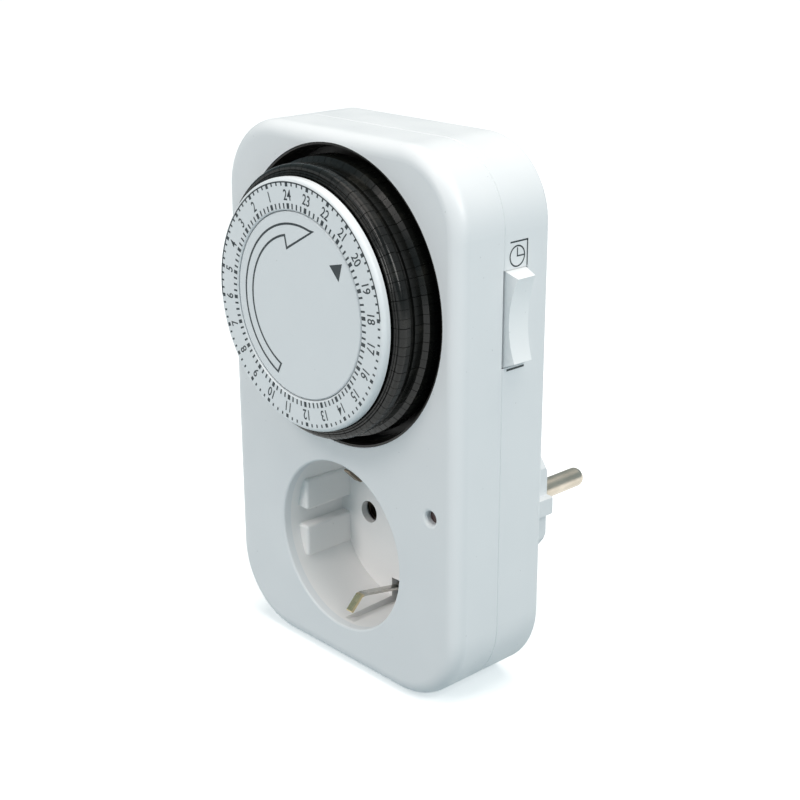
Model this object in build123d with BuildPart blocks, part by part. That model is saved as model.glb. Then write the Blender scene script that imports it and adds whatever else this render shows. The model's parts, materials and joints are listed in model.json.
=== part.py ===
from build123d import *
from math import acos, cos, hypot, pi, radians, sin, sqrt, tan
import os

os.makedirs("parts", exist_ok=True)

# A plug-in mechanical 24-hour timer with a mains socket in its front.
# Millimetres.  The origin is the centre of the plug's end face, +Y runs along
# the plug pins into the wall, +Z is up and +X is right as seen from the front.
# Depths are measured from the front face of the housing towards the wall.

# ---------------------------------------------------------------- housing
HALF_WIDTH = 37.3
TOP_Z = 93.0
BOTTOM_Z = -28.9
TOP_CORNER_R = 17.0
BOTTOM_CORNER_R = 18.2
FRONT_FILLET = 3.3
REAR_FILLET = 0.8
WALL = 2.0
PARTING_DEPTH = 12.6
PARTING_CHAMFER = 0.2
BACK_DEPTH = 25.7
BACK_WALL = 2.2
LIP_DEPTH = 1.7
LIP_THICKNESS = 1.0
PART_GAP = 0.1                # gap between parts that meet but do not move

# ---------------------------------------------------------------- wall plug
PLUG_FACE_DEPTH = 52.3
PLUG_R = 17.9
PLUG_WALL = 1.9
PLUG_END_WALL = 2.5
PLUG_FLAT_X = 15.45
PLUG_TONGUE_HALF = 2.1
PLUG_TONGUE_R = 17.6
PLUG_CHAMFER = 0.5
PLINTH_R = 22.5
PLUG_NECK_R = 21.5            # where the plug body passes through the back wall
PLINTH_TOP_R = 21.0
PLINTH_DEPTH = 33.7
PIN_R = 2.4
PIN_LENGTH = 18.5
PIN_TIP_R = 1.7
PIN_SHANK_R = 2.7             # collar moulded into the end wall of the plug
PIN_SPACING = 19.0
PIN_X = PIN_SPACING / 2

# ---------------------------------------------------------------- socket
RECESS_R = 19.8
RECESS_FLOOR_R = 19.2
RECESS_DEPTH = 17.5
RECESS_FLOOR = 1.8
CUP_R = 21.4
GUIDE_X = 16.2
GUIDE_INNER_Z = 2.1
GUIDE_OUTER_Z = 9.8
GUIDE_START = 4.2
GUIDE_ROUNDING = 0.7
CUP_START = 2.0               # depth at which the separate cup takes over from the front
RIM_CHAMFER = 0.4
CLIP_SLOT_HALF = 1.6
CLIP_SLOT_START = 2.3
CLIP_SLOT_INNER_Z = 14.35
CLIP_SLOT_OUTER_Z = 20.8
PIN_HOLE_R = 2.7
CONTACT_BORE_R = 2.45
CONTACT_R = 3.1
CONTACT_START = 20.0
CONTACT_END = 36.6

# ---------------------------------------------------------------- dial
DIAL_Z = 57.85
OPENING_R = 32.85
HOURS = 24
TAPPETS_PER_HOUR = 4
DIAL_PHASE = -5.48            # clockwise angle of the 24 h mark from the top
DIAL_FACE = -10.25
RING_R = 26.95
RING_INNER_R = 20.2
RING_BACK = -8.9
RING_RIM_BACK = -8.2
DISC_R = 19.9
DISC_STEP = -9.5              # behind this depth the disc is narrower
DISC_STEP_R = 19.0
RING_LIP_R = 19.3
RING_LIP_FRONT = -9.2
DISC_FACE = -10.1
DISC_BACK = -8.9
SPINDLE_R = 3.0
RUNNING_GAP = 0.05
HUB_R = 5.2
DRUM_R = 25.1
DRUM_INNER_R = 22.6
DRUM_BACK = 3.0
GROOVE_BOTTOM_R = 24.2
GROOVE_WIDTH = 0.9
TONGUE_WIDTH = 0.66
TAPPET_INNER_R = 25.4
TAPPET_GAP = 0.19             # degrees between neighbouring tappets
TAPPET_PLAY = 0.05            # degrees each tappet may sit off its nominal place
TAPPET_PLAY_STEP = 2.4        # radians of the wave that spreads those offsets
TAPPET_BACK = 3.2
TAPPET_TRAVEL = 3.0
WELL_R = 32.75
WELL_RIM_R = 32.35
WELL_INNER_R = 31.75
WELL_FRONT = 0.2
WELL_FLOOR = 6.7
WELL_BACK = 7.9

# ---------------------------------------------------------------- gear train
MODULE = 0.6
PRESSURE_ANGLE = radians(20)
ADDENDUM = 0.8
DEDENDUM = 1.15
BACKLASH = 0.12               # millimetres taken off each tooth at the pitch line
DIAL_TEETH = 72
IDLER_PINION_TEETH = 12
IDLER_WHEEL_TEETH = 36
MOTOR_TEETH = 12
IDLER_ANGLE = 225.0           # direction from the dial to the idler
MOTOR_ANGLE = 101.0           # direction from the idler to the motor
ARBOR_R = 0.75
PLATE_FRONT = 13.9
PLATE_BACK = 14.9
MOTOR_R = 13.0
MOTOR_BACK = 22.9

# ---------------------------------------------------------------- switch
FOLLOWER_X = 22.5
FOLLOWER_Z = 75.4
LEVER_PIVOT_DEPTH = 12.2
LEVER_PIVOT_Z = 66.0
LEVER_PIN_R = 0.6
PLUNGER_R = 1.0
PLUNGER_Z = 72.0
PLUNGER_TIP = 12.9

# ---------------------------------------------------------------- rocker
ROCKER_Z = 58.3
ROCKER_DEPTH = 16.0
ROCKER_HALF = 9.95
ROCKER_HALF_WIDTH = 3.0
ROCKER_PIVOT_X = 33.8
ROCKER_EDGE_X = 37.5          # where the ends stop following their arc about the pivot
ROCKER_INNER_X = 34.8
ROCKER_END_R = hypot(ROCKER_EDGE_X - ROCKER_PIVOT_X, ROCKER_HALF)
ROCKER_PIN_R = 0.6
ROCKER_SLOT_GAP = 0.16
ROCKER_SLOT_BACK = 19.4

# ---------------------------------------------------------------- lamp
LAMP_X = 29.5
LAMP_Z = 16.3
LAMP_HOLE_R = 1.5

CASE_SCREWS = [(29.2, 83.4), (-29.2, 83.4), (28.6, -17.2), (-28.6, -17.2)]
PLATE_POSTS = [20.0, 130.0, 290.0]    # clockwise angles round the dial
PLATE_POST_ORBIT = 29.5
FRONT_Y = -PLUG_FACE_DEPTH


# ---------------------------------------------------------------- helpers
def at_depth(depth):
    """Plane across the timer at a depth; its x is +X, its y is +Z, and it faces the front."""
    return Plane.XZ.offset(-(FRONT_Y + depth))


def section(height):
    """Plane through an axis at a height; x is the distance from the axis and y is the depth."""
    return Plane(origin=(0, FRONT_Y, height), x_dir=(1, 0, 0), z_dir=(0, 0, 1))


def side_plane(x):
    """Plane along the timer at a side position; x is the depth and y is +Z."""
    return Plane(origin=(x, FRONT_Y, 0), x_dir=(0, 1, 0), z_dir=(1, 0, 0))


def axis_along_y(x, z):
    return Axis((x, 0, z), (0, 1, 0))


def around_dial(clockwise, radius):
    """X and Z of a point at a clockwise angle from the top of the dial."""
    angle = radians(clockwise)
    return (radius * sin(angle), DIAL_Z + radius * cos(angle))


def along(origin, angle, distance):
    """X and Z of a point at an angle, anticlockwise from +X, and a distance."""
    return (origin[0] + distance * cos(radians(angle)), origin[1] + distance * sin(radians(angle)))


def save(builder, name):
    builder.part.label = name
    export_step(builder.part, f"parts/{name}.step")


def housing_outline(inset):
    """The housing's outline drawn in by an inset, as a flat sketch."""
    half = HALF_WIDTH - inset
    top = TOP_Z - inset
    bottom = BOTTOM_Z + inset
    top_r = TOP_CORNER_R - inset
    low_r = BOTTOM_CORNER_R - inset
    with BuildSketch() as outline:
        with BuildLine():
            Line((0, top), (half - top_r, top))
            CenterArc((half - top_r, top - top_r), top_r, 0, 90)
            Line((half, top - top_r), (half, bottom + low_r))
            CenterArc((half - low_r, bottom + low_r), low_r, -90, 90)
            Line((half - low_r, bottom), (0, bottom))
            mirror(about=Plane.YZ)
        make_face()
    return outline.sketch


def gear_tooth(teeth):
    """Outline of one involute tooth on the +x axis, as a list of points."""
    pitch_r = MODULE * teeth / 2
    base_r = pitch_r * cos(PRESSURE_ANGLE)
    tip_r = pitch_r + ADDENDUM * MODULE
    root_r = pitch_r - DEDENDUM * MODULE
    half_pitch = pi / (2 * teeth) - BACKLASH / 2 / pitch_r
    start_r = max(base_r, root_r)
    steps = 5
    flank = []
    for step in range(steps + 1):
        radius = start_r + (tip_r - start_r) * step / steps
        roll = acos(min(1, base_r / radius))
        half = half_pitch + tan(PRESSURE_ANGLE) - PRESSURE_ANGLE - tan(roll) + roll
        flank.append((radius, half))
    foot_r = root_r - MODULE / 2
    flank.insert(0, (foot_r, flank[0][1]))
    upper = [(radius * cos(half), radius * sin(half)) for radius, half in flank]
    lower = [(x, -y) for x, y in reversed(upper)]
    return upper + lower


def gear_face(teeth, start_angle):
    """Draws a toothed wheel in the open sketch, with a tooth at start_angle."""
    Circle(MODULE * (teeth / 2 - DEDENDUM))
    with PolarLocations(0, teeth, start_angle=start_angle):
        Polygon(*gear_tooth(teeth), align=None)


IDLER = along((0, DIAL_Z), IDLER_ANGLE, MODULE * (DIAL_TEETH + IDLER_PINION_TEETH) / 2)
MOTOR = along(IDLER, MOTOR_ANGLE, MODULE * (IDLER_WHEEL_TEETH + MOTOR_TEETH) / 2)


# ---------------------------------------------------------------- front shell
def recess_radius(depth):
    """Radius of the tapered plug recess at a depth."""
    return RECESS_R - (RECESS_R - RECESS_FLOOR_R) * depth / RECESS_DEPTH


def recess_rim():
    """Rounded edge of the plug recess, as deep as the front wall."""
    with BuildPart() as rim:
        with BuildSketch(section(0)):
            with BuildLine():
                Polyline(
                    (CUP_R, CUP_START),
                    (CUP_R, 0),
                    (RECESS_R + RIM_CHAMFER, 0),
                    (RECESS_R + RIM_CHAMFER / 4, RIM_CHAMFER * 0.4),
                    (recess_radius(RIM_CHAMFER), RIM_CHAMFER),
                    (recess_radius(CUP_START), CUP_START),
                    close=True,
                )
            make_face()
        revolve(axis=axis_along_y(0, 0))
    return rim.part


def make_socket_cup():
    """The plug recess behind its rim, with guides, earth contact slots and pin holes."""
    back = RECESS_DEPTH + RECESS_FLOOR
    guide_width = CUP_R - GUIDE_X
    guide_height = GUIDE_OUTER_Z - GUIDE_INNER_Z
    with BuildPart() as socket_cup:
        with BuildSketch(at_depth(RECESS_DEPTH)):
            with GridLocations(2 * GUIDE_X + guide_width, GUIDE_OUTER_Z + GUIDE_INNER_Z, 2, 2):
                Rectangle(guide_width, guide_height)
            Circle(RECESS_R + 0.8, mode=Mode.INTERSECT)
        extrude(amount=RECESS_DEPTH - GUIDE_START)
        front_edges = socket_cup.faces().filter_by(Plane.XZ).group_by(Axis.Y)[0].edges()
        inner_edges = socket_cup.edges().filter_by(Axis.Y).filter_by(lambda edge: abs(edge.center().X) < GUIDE_X + 0.1)
        fillet(front_edges.filter_by(GeomType.LINE) + inner_edges, GUIDE_ROUNDING)
        with BuildSketch(section(0)):
            with BuildLine():
                Polyline(
                    (0, back),
                    (CUP_R, back),
                    (CUP_R, CUP_START),
                    (recess_radius(CUP_START), CUP_START),
                    (RECESS_FLOOR_R, RECESS_DEPTH),
                    (0, RECESS_DEPTH),
                    close=True,
                )
            make_face()
        revolve(axis=axis_along_y(0, 0))
        for side in (1, -1):
            slot = [
                (CLIP_SLOT_START, 17.0),
                (CLIP_SLOT_START, RECESS_R - 0.3),
                (CLIP_SLOT_START + 4, CLIP_SLOT_OUTER_Z),
                (back + 1, CLIP_SLOT_OUTER_Z),
                (back + 1, CLIP_SLOT_INNER_Z),
                (RECESS_DEPTH - 0.5, CLIP_SLOT_INNER_Z),
                (RECESS_DEPTH - 0.5, 17.0),
            ]
            with BuildSketch(side_plane(0)):
                Polygon(*[(depth, side * z) for depth, z in slot], align=None)
            extrude(amount=CLIP_SLOT_HALF, both=True, mode=Mode.SUBTRACT)
        with BuildSketch(at_depth(back)):
            with Locations((PIN_X, 0), (-PIN_X, 0)):
                Circle(PIN_HOLE_R)
        extrude(amount=RECESS_FLOOR + 0.5, mode=Mode.SUBTRACT)
    save(socket_cup, "socket_cup")


def make_front_shell():
    """Front half of the housing: dial opening, rim of the plug recess, lamp hole and screw posts."""
    with BuildPart() as front_shell:
        with BuildSketch(at_depth(PARTING_DEPTH)):
            add(housing_outline(0))
        extrude(amount=PARTING_DEPTH)
        fillet(front_shell.faces().sort_by(Axis.Y)[0].edges(), FRONT_FILLET)
        chamfer(front_shell.faces().sort_by(Axis.Y)[-1].edges(), PARTING_CHAMFER)
        with BuildSketch(at_depth(PARTING_DEPTH)):
            add(housing_outline(WALL))
        extrude(amount=PARTING_DEPTH - WALL, mode=Mode.SUBTRACT)
        with BuildSketch(at_depth(PARTING_DEPTH)):
            with Locations((0, DIAL_Z)):
                Circle(OPENING_R)
            Circle(CUP_R - 0.5)
        extrude(amount=PARTING_DEPTH, mode=Mode.SUBTRACT)
        with BuildSketch(at_depth(PARTING_DEPTH + LIP_DEPTH)):
            with Locations(*CASE_SCREWS):
                Circle(3.0)
        extrude(amount=PARTING_DEPTH + LIP_DEPTH - WALL)
        with BuildSketch(at_depth(PARTING_DEPTH + LIP_DEPTH)):
            with Locations(*CASE_SCREWS):
                Circle(1.1)
        extrude(amount=9.0, mode=Mode.SUBTRACT)
        with BuildSketch(section(LAMP_Z)):
            with BuildLine():
                Polyline(
                    (LAMP_X, -1),
                    (LAMP_X + LAMP_HOLE_R + 0.7, -1),
                    (LAMP_X + LAMP_HOLE_R + 0.7, 0),
                    (LAMP_X + LAMP_HOLE_R + 0.25, 0.2),
                    (LAMP_X + LAMP_HOLE_R, 0.7),
                    (LAMP_X + LAMP_HOLE_R, WALL + 1),
                    (LAMP_X, WALL + 1),
                    close=True,
                )
            make_face()
        revolve(axis=axis_along_y(LAMP_X, LAMP_Z), mode=Mode.SUBTRACT)
        add(recess_rim())
    save(front_shell, "front_shell")


# ---------------------------------------------------------------- rear shell
def make_plug_body():
    """Plinth and hollow plug, let into the back wall: flats, key tongues, pin holes, earth windows."""
    inner_r = PLUG_R - PLUG_WALL
    notch_top = sqrt(PLUG_R ** 2 - PLUG_FLAT_X ** 2)
    notch_height = notch_top - PLUG_TONGUE_HALF
    notch_width = 4.0
    with BuildPart() as plug_body:
        with BuildSketch(section(0)):
            with BuildLine():
                Polyline(
                    (0, BACK_DEPTH - BACK_WALL),
                    (PLUG_NECK_R, BACK_DEPTH - BACK_WALL),
                    (PLUG_NECK_R, BACK_DEPTH),
                    (PLINTH_R, BACK_DEPTH),
                    (PLINTH_TOP_R + 0.6, PLINTH_DEPTH - 0.8),
                    (PLINTH_TOP_R - 0.2, PLINTH_DEPTH),
                    (PLUG_R, PLINTH_DEPTH),
                    (PLUG_R, PLUG_FACE_DEPTH - PLUG_CHAMFER),
                    (PLUG_R - PLUG_CHAMFER, PLUG_FACE_DEPTH),
                    (0, PLUG_FACE_DEPTH),
                    close=True,
                )
            make_face()
        revolve(axis=axis_along_y(0, 0))
        with BuildSketch(at_depth(PLUG_FACE_DEPTH)):
            with GridLocations(2 * PLUG_FLAT_X + notch_width, notch_top + PLUG_TONGUE_HALF, 2, 2):
                Rectangle(notch_width, notch_height)
            with GridLocations(2 * (PLUG_TONGUE_R + 1), 0, 2, 1):
                Rectangle(2, 2 * PLUG_TONGUE_HALF + 1)
        extrude(amount=PLUG_FACE_DEPTH - PLINTH_DEPTH, mode=Mode.SUBTRACT)
        with BuildSketch(at_depth(PLUG_FACE_DEPTH - PLUG_END_WALL)):
            Circle(inner_r)
            Rectangle(2 * (PLUG_FLAT_X - PLUG_WALL), 2 * PLUG_R, mode=Mode.INTERSECT)
        extrude(amount=PLUG_FACE_DEPTH, mode=Mode.SUBTRACT)
        with BuildSketch(at_depth(PLUG_FACE_DEPTH)):
            with Locations((PIN_X, 0), (-PIN_X, 0)):
                Circle(PIN_SHANK_R)
        extrude(amount=PLUG_END_WALL, mode=Mode.SUBTRACT)
        with BuildSketch(at_depth(PLUG_FACE_DEPTH - 2.0)):
            Rectangle(6.4, 2 * PLUG_R + 2)
            Rectangle(7.4, 2 * (inner_r - 2), mode=Mode.SUBTRACT)
        extrude(amount=13.6, mode=Mode.SUBTRACT)
    save(plug_body, "plug_body")


def locating_lip():
    """Lip inside the parting line, left out at the screw posts and the rocker."""
    outer = WALL + PART_GAP
    inner = outer + LIP_THICKNESS
    with BuildPart() as lip:
        with BuildSketch(at_depth(PARTING_DEPTH + LIP_DEPTH)):
            add(housing_outline(WALL / 2))
            add(housing_outline(inner), mode=Mode.SUBTRACT)
        extrude(amount=LIP_DEPTH)
        with BuildSketch(at_depth(PARTING_DEPTH)):
            add(housing_outline(outer))
            add(housing_outline(inner), mode=Mode.SUBTRACT)
        extrude(amount=LIP_DEPTH)
        with BuildSketch(at_depth(PARTING_DEPTH + LIP_DEPTH)):
            with Locations(*CASE_SCREWS):
                Circle(3.3)
            with Locations((HALF_WIDTH - WALL, ROCKER_Z)):
                Rectangle(8, 26)
        extrude(amount=2 * LIP_DEPTH, mode=Mode.SUBTRACT)
    return lip.part


def make_rear_shell():
    """Rear half of the housing, with the hole that takes the plug body."""
    inner_depth = BACK_DEPTH - BACK_WALL
    with BuildPart() as rear_shell:
        with BuildSketch(at_depth(BACK_DEPTH)):
            add(housing_outline(0))
        extrude(amount=BACK_DEPTH - PARTING_DEPTH)
        fillet(rear_shell.faces().sort_by(Axis.Y)[-1].edges(), REAR_FILLET)
        chamfer(rear_shell.faces().sort_by(Axis.Y)[0].edges(), PARTING_CHAMFER)
        with BuildSketch(at_depth(inner_depth)):
            add(housing_outline(WALL))
        extrude(amount=inner_depth - PARTING_DEPTH, mode=Mode.SUBTRACT)
        with BuildSketch(at_depth(BACK_DEPTH)):
            Circle(PLUG_NECK_R + RUNNING_GAP)
        extrude(amount=BACK_WALL, mode=Mode.SUBTRACT)
        add(locating_lip())
        with BuildSketch(at_depth(inner_depth)):
            with Locations(*CASE_SCREWS):
                Circle(4.0)
            add(housing_outline(WALL / 2), mode=Mode.INTERSECT)
        extrude(amount=inner_depth - PARTING_DEPTH - LIP_DEPTH - PART_GAP)
        with BuildSketch(at_depth(BACK_DEPTH)):
            with Locations(*CASE_SCREWS):
                Circle(2.9)
        extrude(amount=BACK_DEPTH - 17.0, mode=Mode.SUBTRACT)
        with BuildSketch(at_depth(17.0)):
            with Locations(*CASE_SCREWS):
                Circle(1.3)
        extrude(amount=5.0, mode=Mode.SUBTRACT)
        with BuildSketch(at_depth(inner_depth)):
            with Locations((-6.0, 84.0), (26.0, 34.0), (-30.0, 34.0)):
                Circle(2.0)
        extrude(amount=inner_depth - PLATE_BACK - PART_GAP)
        with BuildSketch(at_depth(ROCKER_SLOT_BACK)):
            with Locations((ROCKER_PIVOT_X, ROCKER_Z)):
                Circle(ROCKER_END_R + ROCKER_SLOT_GAP)
            with Locations((HALF_WIDTH, ROCKER_Z)):
                Rectangle(2 * WALL + 2, 3 * ROCKER_HALF, mode=Mode.INTERSECT)
        extrude(amount=ROCKER_SLOT_BACK - PARTING_DEPTH + LIP_DEPTH, mode=Mode.SUBTRACT)
    save(rear_shell, "rear_shell")


def make_case_screws():
    with BuildPart() as case_screws:
        with BuildSketch(at_depth(18.8)):
            with Locations(*CASE_SCREWS):
                Circle(2.6)
        extrude(amount=1.8)
        with BuildSketch(at_depth(17.0)):
            with Locations(*CASE_SCREWS):
                Circle(1.05)
        extrude(amount=10.5)
        with BuildSketch(at_depth(18.8)):
            with Locations(*CASE_SCREWS):
                Rectangle(3.0, 0.6)
                Rectangle(0.6, 3.0)
        extrude(amount=1.0, mode=Mode.SUBTRACT)
    save(case_screws, "case_screws")


# ---------------------------------------------------------------- plug and socket contacts
def make_plug_pin(name, x):
    with BuildPart() as pin:
        with BuildSketch(at_depth(PLUG_FACE_DEPTH + PIN_LENGTH)):
            with Locations((x, 0)):
                Circle(PIN_R)
        extrude(amount=PIN_LENGTH)
        fillet(pin.edges().sort_by(Axis.Y)[-1], PIN_TIP_R)
        with BuildSketch(at_depth(PLUG_FACE_DEPTH)):
            with Locations((x, 0)):
                Circle(PIN_SHANK_R)
        extrude(amount=PLUG_END_WALL)
        with BuildSketch(at_depth(PLUG_FACE_DEPTH - PLUG_END_WALL)):
            with Locations((x, 0)):
                Circle(3.4)
        extrude(amount=4.5)
        with BuildSketch(at_depth(PLUG_FACE_DEPTH - PLUG_END_WALL - 4.5)):
            with Locations((x, 0)):
                Circle(1.5)
        extrude(amount=3.3)
    save(pin, name)


def make_contact(name, x, stem_end):
    """Sprung sleeve behind a pin hole, with a slit, a closed end and a stem."""
    with BuildPart() as contact:
        with BuildSketch(at_depth(CONTACT_END)):
            with Locations((x, 0)):
                Circle(CONTACT_R)
                Circle(CONTACT_BORE_R, mode=Mode.SUBTRACT)
        extrude(amount=CONTACT_END - CONTACT_START)
        with BuildSketch(at_depth(CONTACT_END - 3)):
            with Locations((x, 0)):
                Rectangle(0.8, 2 * CONTACT_R + 1)
        extrude(amount=CONTACT_END - 3 - CONTACT_START, mode=Mode.SUBTRACT)
        with BuildSketch(at_depth(CONTACT_END + 0.8)):
            with Locations((x, 0)):
                Circle(CONTACT_R + 0.3)
        extrude(amount=0.8)
        with BuildSketch(at_depth(stem_end)):
            with Locations((x, 0)):
                Circle(1.5)
        extrude(amount=stem_end - CONTACT_END - 0.8)
    save(contact, name)


def make_contact_carrier():
    """Insulating block that holds the two contacts inside the plug body."""
    with BuildPart() as contact_carrier:
        with BuildSketch(at_depth(40.0)):
            RectangleRounded(2 * (PLUG_FLAT_X - PLUG_WALL), 13.0, 2.0)
            with Locations((PIN_X, 0), (-PIN_X, 0)):
                Circle(1.5, mode=Mode.SUBTRACT)
        extrude(amount=2.5)
        with BuildSketch(at_depth(37.5)):
            Rectangle(7.0, 12.0)
        extrude(amount=14.0)
    save(contact_carrier, "contact_carrier")


def make_earth_spring(name, side):
    """Bent strip: the sprung earth contact in the recess, then back to the plug's side."""
    route = [
        (3.0, 17.3),
        (5.9, 14.4),
        (7.2, 14.35),
        (18.0, 16.4),
        (22.0, 15.1),
        (37.5, 15.1),
        (40.0, 17.2),
        (47.0, 17.2),
        (49.2, 15.5),
    ]
    with BuildPart() as earth_spring:
        with BuildSketch(side_plane(0)):
            with BuildLine():
                Polyline(*[(depth, side * z) for depth, z in route])
                offset(amount=0.3, side=Side.BOTH, closed=True)
            make_face()
        extrude(amount=0.95, both=True)
        with BuildSketch(side_plane(0)):
            with BuildLine():
                Polyline(*[(depth, side * z) for depth, z in route[5:]])
                offset(amount=0.3, side=Side.BOTH, closed=True)
            make_face()
        extrude(amount=2.6, both=True)
    save(earth_spring, name)


def make_live_strip():
    """Strip from the live pin up to the switch."""
    with BuildPart() as live_strip:
        with BuildSketch(at_depth(44.4)):
            with BuildLine():
                Polyline((7.2, -2), (11.8, -2), (11.8, 3), (7.0, 13.2), (4.0, 13.2), (4.0, 11), close=True)
            make_face()
            with Locations((PIN_X, 0)):
                Circle(1.5, mode=Mode.SUBTRACT)
        extrude(amount=0.6)
        with BuildSketch(at_depth(44.4)):
            with Locations((5.5, 12.9)):
                Rectangle(3.0, 0.6)
        extrude(amount=44.4 - 21.9)
        with BuildSketch(at_depth(22.5)):
            with BuildLine():
                Polyline((4, 12.6), (7, 12.6), (7, 61), (21, 61), (21, 64), (4, 64), close=True)
            make_face()
        extrude(amount=0.6)
    save(live_strip, "live_strip")


def make_load_strip():
    """Strip from the switch down to the socket's live contact."""
    with BuildPart() as load_strip:
        with BuildSketch(at_depth(21.2)):
            with BuildLine():
                Polyline(
                    (PIN_X - 2, -4.5),
                    (32.5, -4.5),
                    (32.5, 64),
                    (24.5, 64),
                    (24.5, 61),
                    (29.5, 61),
                    (29.5, 4.5),
                    (PIN_X - 2, 4.5),
                    close=True,
                )
            make_face()
            with Locations((PIN_X, 0)):
                Circle(CONTACT_R, mode=Mode.SUBTRACT)
        extrude(amount=0.6)
    save(load_strip, "load_strip")


# ---------------------------------------------------------------- dial
def make_number_ring():
    with BuildPart() as number_ring:
        with BuildSketch(section(DIAL_Z)):
            with BuildLine():
                inner = Line((RING_INNER_R + 0.25, DIAL_FACE), (26.1, DIAL_FACE))
                rim = RadiusArc(inner @ 1, (RING_R, -9.3), -1.0)
                Polyline(
                    rim @ 1,
                    (RING_R, -8.45),
                    (RING_R - 0.25, RING_RIM_BACK),
                    (26.0, RING_RIM_BACK),
                    (25.9, RING_BACK),
                    (RING_LIP_R, RING_BACK),
                    (RING_LIP_R, RING_LIP_FRONT),
                    (RING_INNER_R, RING_LIP_FRONT),
                    (RING_INNER_R, DIAL_FACE + 0.25),
                    inner @ 0,
                )
            make_face()
        revolve(axis=axis_along_y(0, DIAL_Z))
    save(number_ring, "number_ring")


def make_centre_disc():
    """Fixed disc inside the number ring, pushed on to the front of the spindle."""
    with BuildPart() as centre_disc:
        with BuildSketch(section(DIAL_Z)):
            with BuildLine():
                Polyline(
                    (0, DISC_FACE),
                    (DISC_R - 0.2, DISC_FACE),
                    (DISC_R, DISC_FACE + 0.2),
                    (DISC_R, DISC_STEP),
                    (DISC_STEP_R, DISC_STEP),
                    (DISC_STEP_R, DISC_BACK),
                    (5.0, DISC_BACK),
                    (5.0, -6.5),
                    (SPINDLE_R, -6.5),
                    (SPINDLE_R, DISC_BACK + 0.05),
                    (0, DISC_BACK + 0.05),
                    close=True,
                )
            make_face()
        revolve(axis=axis_along_y(0, DIAL_Z))
    save(centre_disc, "centre_disc")


def make_spindle():
    with BuildPart() as spindle:
        with BuildSketch(section(DIAL_Z)):
            with BuildLine():
                Polyline(
                    (0, DISC_BACK + 0.1),
                    (SPINDLE_R - 0.3, DISC_BACK + 0.1),
                    (SPINDLE_R, DISC_BACK + 0.4),
                    (SPINDLE_R, 11.6),
                    (5.0, 11.6),
                    (5.0, PLATE_FRONT),
                    (2.0, PLATE_FRONT),
                    (2.0, 16.0),
                    (0, 16.0),
                    close=True,
                )
            make_face()
        revolve(axis=axis_along_y(0, DIAL_Z))
    save(spindle, "spindle")


def make_segment_carrier():
    """Rotating drum with a groove for each tappet, a web and a hub."""
    bore = SPINDLE_R + RUNNING_GAP
    with BuildPart() as segment_carrier:
        with BuildSketch(section(DIAL_Z)):
            with BuildLine():
                Polyline(
                    (20.6, RING_BACK),
                    (25.85, RING_BACK),
                    (25.85, -8.1),
                    (DRUM_R, -8.1),
                    (DRUM_R, DRUM_BACK),
                    (DRUM_INNER_R, DRUM_BACK),
                    (DRUM_INNER_R, 0.6),
                    (HUB_R + 2, 0.6),
                    (HUB_R + 1, 3.4),
                    (HUB_R, 3.4),
                    (HUB_R, 11.3),
                    (bore, 11.3),
                    (bore, -6.2),
                    (HUB_R, -6.2),
                    (HUB_R + 1, -0.8),
                    (DRUM_INNER_R, -0.8),
                    (DRUM_INNER_R, -7.6),
                    (20.6, -7.6),
                    close=True,
                )
            make_face()
        revolve(axis=axis_along_y(0, DIAL_Z))
        groove_depth = DRUM_R - GROOVE_BOTTOM_R
        with BuildSketch(at_depth(DRUM_BACK)):
            with Locations((0, DIAL_Z)):
                count = HOURS * TAPPETS_PER_HOUR
                orbit = GROOVE_BOTTOM_R + groove_depth / 2 + 0.1
                with PolarLocations(orbit, count, start_angle=first_tappet_angle()):
                    Rectangle(groove_depth + 0.2, GROOVE_WIDTH)
        extrude(amount=DRUM_BACK + 8.1, mode=Mode.SUBTRACT)
        with BuildSketch(section(DIAL_Z)):
            with Locations((HUB_R - 0.2, 10.9)):
                Rectangle(0.8, 0.5)
        revolve(axis=axis_along_y(0, DIAL_Z), mode=Mode.SUBTRACT)
    save(segment_carrier, "segment_carrier")


def first_tappet_angle():
    """Anticlockwise angle from +X of the first tappet after the 24 h mark."""
    step = 360 / HOURS / TAPPETS_PER_HOUR
    return 90 - DIAL_PHASE + step / 2


def single_tappet():
    """One tappet standing out on the +X side of a dial centred on the origin."""
    arc = 360 / HOURS / TAPPETS_PER_HOUR - TAPPET_GAP
    half = radians(arc / 2)
    edge = Plane(origin=(0, FRONT_Y, 0), x_dir=(cos(half), 0, sin(half)), z_dir=(-sin(half), 0, cos(half)))
    tongue_start = GROOVE_BOTTOM_R + 0.15
    tongue_reach = TAPPET_INNER_R + 0.3 - tongue_start
    with BuildPart() as tappet:
        with BuildSketch(edge):
            with BuildLine():
                stair = Polyline(
                    (TAPPET_INNER_R, TAPPET_BACK),
                    (TAPPET_INNER_R, -7.6),
                    (26.7, -7.6),
                    (27.15, -7.85),
                    (27.42, -7.78),
                    (27.5, -7.55),
                    (27.62, -7.62),
                    (27.95, -7.55),
                    (28.03, -7.3),
                    (28.15, -7.4),
                    (28.65, -7.35),
                )
                ridge = ThreePointArc(stair @ 1, (29.15, -6.95), (29.32, -6.3))
                Polyline(
                    ridge @ 1,
                    (29.3, -5.2),
                    (28.45, -5.0),
                    (28.4, -3.8),
                    (28.85, -3.6),
                    (28.97, -1.45),
                    (30.04, -0.75),
                    (30.25, TAPPET_BACK - 0.3),
                    (29.95, TAPPET_BACK),
                    stair @ 0,
                )
            make_face()
        revolve(axis=Axis.Y, revolution_arc=arc)
        with BuildSketch(at_depth(0)):
            with Locations((tongue_start + tongue_reach / 2, 0)):
                Rectangle(tongue_reach, TONGUE_WIDTH)
        extrude(amount=7.6)
    return tappet.part


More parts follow.
